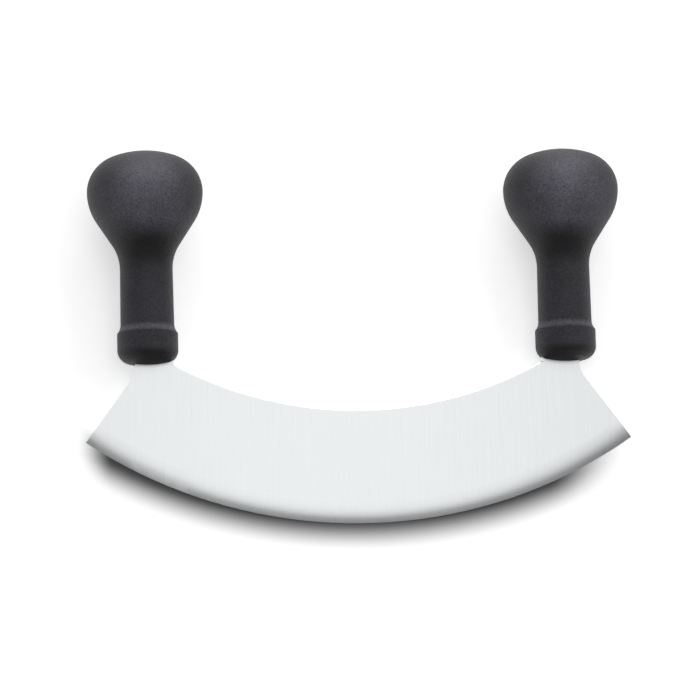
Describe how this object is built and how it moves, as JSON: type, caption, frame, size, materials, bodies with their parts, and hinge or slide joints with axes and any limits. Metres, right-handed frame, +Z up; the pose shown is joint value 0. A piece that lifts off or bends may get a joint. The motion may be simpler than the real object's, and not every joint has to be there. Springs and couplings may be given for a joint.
{
  "type": "mezzaluna",
  "caption": "Crescent rocking blade with an upright black knob handle at each end, lying as laid down on a table.",
  "frame": {"origin": "on the table surface, under the middle of the knife's bounding box", "axes": "+X along the blade to the right-hand handle, +Y across the table from cutting edge to knobs, +Z up from the table"},
  "size_m": [0.23, 0.157, 0.0487],
  "materials": {
    "blade_steel": "satin ground across the blade, polished bevel",
    "grip_plastic": "fine matt moulded grain, black",
    "core_plastic": "plain moulded, undyed, hidden",
    "pin_steel": "drawn wire, hidden"
  },
  "bodies": {
    "root": {"blade": "blade_steel", "left_grip": "grip_plastic", "right_grip": "grip_plastic", "left_core": "core_plastic", "right_core": "core_plastic", "left_tang_pins": "pin_steel", "right_tang_pins": "pin_steel"}
  },
  "joints": []
}
